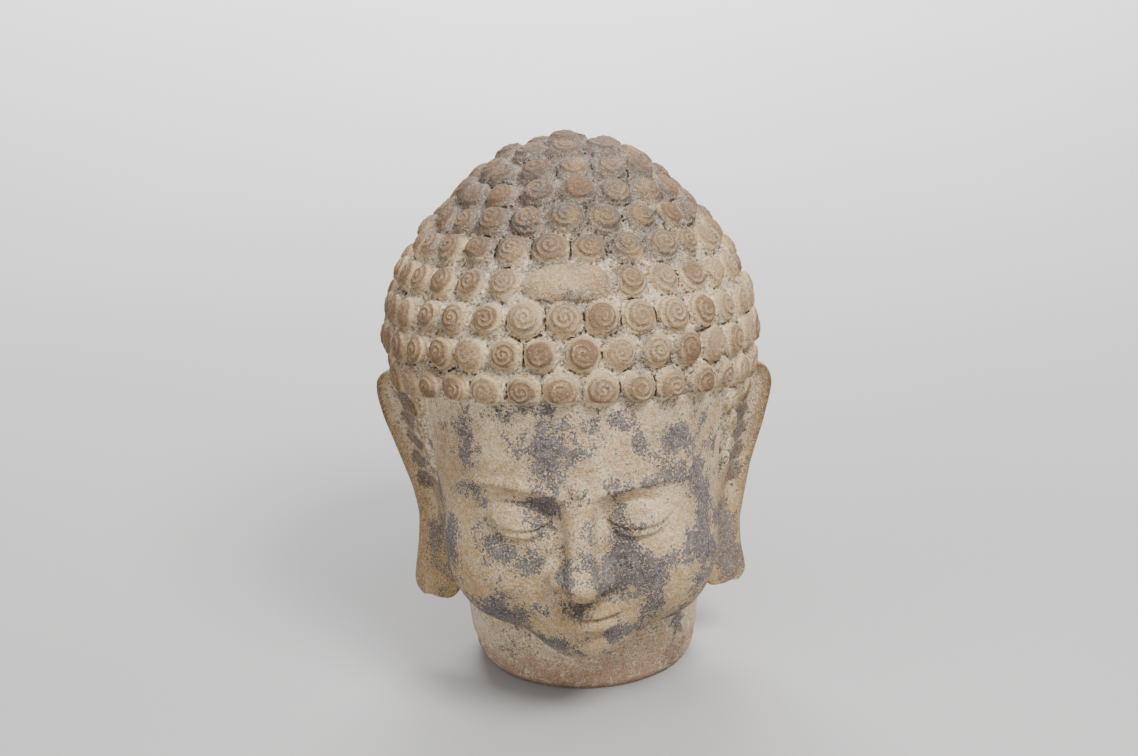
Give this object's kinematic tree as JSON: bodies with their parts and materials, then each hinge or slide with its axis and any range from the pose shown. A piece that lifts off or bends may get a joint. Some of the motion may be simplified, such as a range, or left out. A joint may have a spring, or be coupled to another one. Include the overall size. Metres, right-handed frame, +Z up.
{
  "type": "stone buddha head",
  "caption": "Carved stone head with snail-shell curls, a low crown bump, long ears and a calm closed-eyed face, cut flat below the neck.",
  "frame": {"origin": "middle of the flat underside of the neck", "axes": "+Z up through the crown, the face towards -Y, +X to the viewer's right"},
  "size_m": [0.28, 0.3076, 0.3746],
  "materials": {
    "stone": "buff sandy stone, rough and pitted, with brown worn curl tops, slate-grey worn patches and pale lime in the creases"
  },
  "bodies": {
    "root": {"buddha_head": "stone"}
  },
  "joints": []
}
